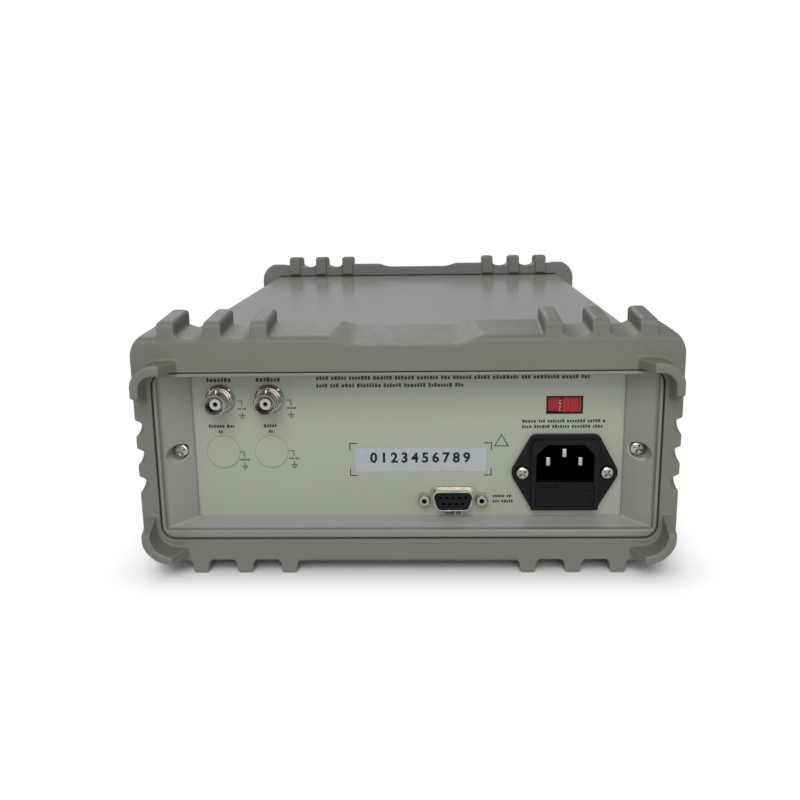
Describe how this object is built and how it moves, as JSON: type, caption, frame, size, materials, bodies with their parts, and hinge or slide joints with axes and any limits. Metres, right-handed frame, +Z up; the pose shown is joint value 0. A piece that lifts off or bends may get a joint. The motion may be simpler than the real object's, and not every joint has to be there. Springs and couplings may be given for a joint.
{
  "type": "function generator",
  "caption": "Half-rack bench function generator with rubbery end guards, corner hooks, a recessed connector panel, a rear mains inlet and a front keypad with a rotary knob.",
  "frame": {"origin": "on the bench plane, under the middle of the case: feet stand on z = 0, and x = 0, y = 0 are midway between the outer faces of the sides and between the tips of the corner hooks", "axes": "+Z up, the keypad and display face -Y, the connector panel faces +Y, +X is to the right seen from the front"},
  "size_m": [0.225, 0.375, 0.11],
  "materials": {
    "guard_plastic": "fine-textured greenish grey moulding",
    "bezel_plastic": "smooth satin grey moulding",
    "cover_paint": "satin light grey powder coat",
    "panel_paint": "satin pale greenish cream paint",
    "rail_aluminium": "plain mill finish",
    "label_film": "pale printed film",
    "display_glass": "tinted clear window",
    "black_plastic": "black thermoplastic",
    "nickel": "nickel plate",
    "white_plastic": "natural white insulator",
    "gold_brass": "plain brass",
    "red_plastic": "glossy red plastic",
    "fuse_glass": "clear glass tube with plated caps",
    "dark_key": "dark grey plastic",
    "knob_rubber": "soft-touch dark grey",
    "key_plastic": "pale grey silicone-like plastic",
    "soft_key_plastic": "blue-grey plastic",
    "board_green": "green circuit board",
    "core_iron": "varnished laminations",
    "winding_copper": "yellow winding tape",
    "cable_grey": "grey ribbon cable",
    "cable_brown": "brown and blue insulated wire"
  },
  "bodies": {
    "case": {"rear_guard": "guard_plastic", "front_guard": "guard_plastic", "rear_bezel": "bezel_plastic", "front_bezel": "bezel_plastic", "top_cover": "cover_paint", "bottom_cover": "cover_paint", "side_rails": "rail_aluminium", "rear_panel": "panel_paint", "front_panel": "panel_paint", "serial_label": "label_film", "display_window": "display_glass", "display_module": "black_plastic", "bnc_bodies": "nickel", "bnc_insulators": "white_plastic", "bnc_contacts": "gold_brass", "bnc_nuts": "nickel", "hole_plugs": "panel_paint", "voltage_selector": "black_plastic", "inlet_body": "black_plastic", "inlet_pins": "nickel", "de9_shell": "nickel", "de9_insulator": "black_plastic", "de9_jackscrews": "nickel", "panel_screws": "nickel", "case_screws": "nickel", "power_switch": "black_plastic", "encoder": "rail_aluminium", "main_board": "board_green", "board_chips": "black_plastic", "heatsink": "rail_aluminium", "front_board": "board_green", "key_switches": "black_plastic", "transformer_core": "core_iron", "transformer_winding": "winding_copper", "standoffs": "gold_brass", "ribbon_cable": "cable_grey", "mains_leads": "cable_brown"},
    "knob": {"knob": "knob_rubber", "encoder_shaft": "rail_aluminium"},
    "power_button": {"power_button": "dark_key"},
    "voltage_slider": {"voltage_slider": "red_plastic"},
    "fuse_drawer": {"fuse_drawer": "black_plastic", "fuses": "fuse_glass"},
    "key_0": {"key_0": "key_plastic"},
    "key_1": {"key_1": "key_plastic"},
    "key_2": {"key_2": "key_plastic"},
    "key_3": {"key_3": "key_plastic"},
    "key_4": {"key_4": "key_plastic"},
    "key_5": {"key_5": "key_plastic"},
    "key_6": {"key_6": "key_plastic"},
    "key_7": {"key_7": "key_plastic"},
    "key_8": {"key_8": "key_plastic"},
    "key_9": {"key_9": "key_plastic"},
    "key_point": {"key_point": "key_plastic"},
    "key_sign": {"key_sign": "key_plastic"},
    "key_soft_1": {"key_soft_1": "soft_key_plastic"},
    "key_soft_2": {"key_soft_2": "soft_key_plastic"},
    "key_soft_3": {"key_soft_3": "soft_key_plastic"},
    "key_soft_4": {"key_soft_4": "soft_key_plastic"},
    "key_soft_5": {"key_soft_5": "soft_key_plastic"}
  },
  "joints": [
    {"name": "knob_turn", "type": "hinge", "parent": "case", "child": "knob", "pos_m": [0.068, -0.1675, 0.06], "axis": [0, -1, 0], "continuous": true},
    {"name": "power_press", "type": "slide", "parent": "case", "child": "power_button", "axis": [0, 1, 0], "range_m": [0, 0.0035], "stiffness_N_per_m": 400},
    {"name": "voltage_select", "type": "slide", "parent": "case", "child": "voltage_slider", "axis": [1, 0, 0], "range_m": [0, 0.0062]},
    {"name": "fuse_drawer_slide", "type": "slide", "parent": "case", "child": "fuse_drawer", "axis": [0, 1, 0], "range_m": [0, 0.017]},
    {"name": "key_0_press", "type": "slide", "parent": "case", "child": "key_0", "axis": [0, 1, 0], "range_m": [0, 0.001], "stiffness_N_per_m": 800},
    {"name": "key_1_press", "type": "slide", "parent": "case", "child": "key_1", "axis": [0, 1, 0], "range_m": [0, 0.001], "stiffness_N_per_m": 800},
    {"name": "key_2_press", "type": "slide", "parent": "case", "child": "key_2", "axis": [0, 1, 0], "range_m": [0, 0.001], "stiffness_N_per_m": 800},
    {"name": "key_3_press", "type": "slide", "parent": "case", "child": "key_3", "axis": [0, 1, 0], "range_m": [0, 0.001], "stiffness_N_per_m": 800},
    {"name": "key_4_press", "type": "slide", "parent": "case", "child": "key_4", "axis": [0, 1, 0], "range_m": [0, 0.001], "stiffness_N_per_m": 800},
    {"name": "key_5_press", "type": "slide", "parent": "case", "child": "key_5", "axis": [0, 1, 0], "range_m": [0, 0.001], "stiffness_N_per_m": 800},
    {"name": "key_6_press", "type": "slide", "parent": "case", "child": "key_6", "axis": [0, 1, 0], "range_m": [0, 0.001], "stiffness_N_per_m": 800},
    {"name": "key_7_press", "type": "slide", "parent": "case", "child": "key_7", "axis": [0, 1, 0], "range_m": [0, 0.001], "stiffness_N_per_m": 800},
    {"name": "key_8_press", "type": "slide", "parent": "case", "child": "key_8", "axis": [0, 1, 0], "range_m": [0, 0.001], "stiffness_N_per_m": 800},
    {"name": "key_9_press", "type": "slide", "parent": "case", "child": "key_9", "axis": [0, 1, 0], "range_m": [0, 0.001], "stiffness_N_per_m": 800},
    {"name": "key_point_press", "type": "slide", "parent": "case", "child": "key_point", "axis": [0, 1, 0], "range_m": [0, 0.001], "stiffness_N_per_m": 800},
    {"name": "key_sign_press", "type": "slide", "parent": "case", "child": "key_sign", "axis": [0, 1, 0], "range_m": [0, 0.001], "stiffness_N_per_m": 800},
    {"name": "key_soft_1_press", "type": "slide", "parent": "case", "child": "key_soft_1", "axis": [0, 1, 0], "range_m": [0, 0.001], "stiffness_N_per_m": 800},
    {"name": "key_soft_2_press", "type": "slide", "parent": "case", "child": "key_soft_2", "axis": [0, 1, 0], "range_m": [0, 0.001], "stiffness_N_per_m": 800},
    {"name": "key_soft_3_press", "type": "slide", "parent": "case", "child": "key_soft_3", "axis": [0, 1, 0], "range_m": [0, 0.001], "stiffness_N_per_m": 800},
    {"name": "key_soft_4_press", "type": "slide", "parent": "case", "child": "key_soft_4", "axis": [0, 1, 0], "range_m": [0, 0.001], "stiffness_N_per_m": 800},
    {"name": "key_soft_5_press", "type": "slide", "parent": "case", "child": "key_soft_5", "axis": [0, 1, 0], "range_m": [0, 0.001], "stiffness_N_per_m": 800}
  ]
}
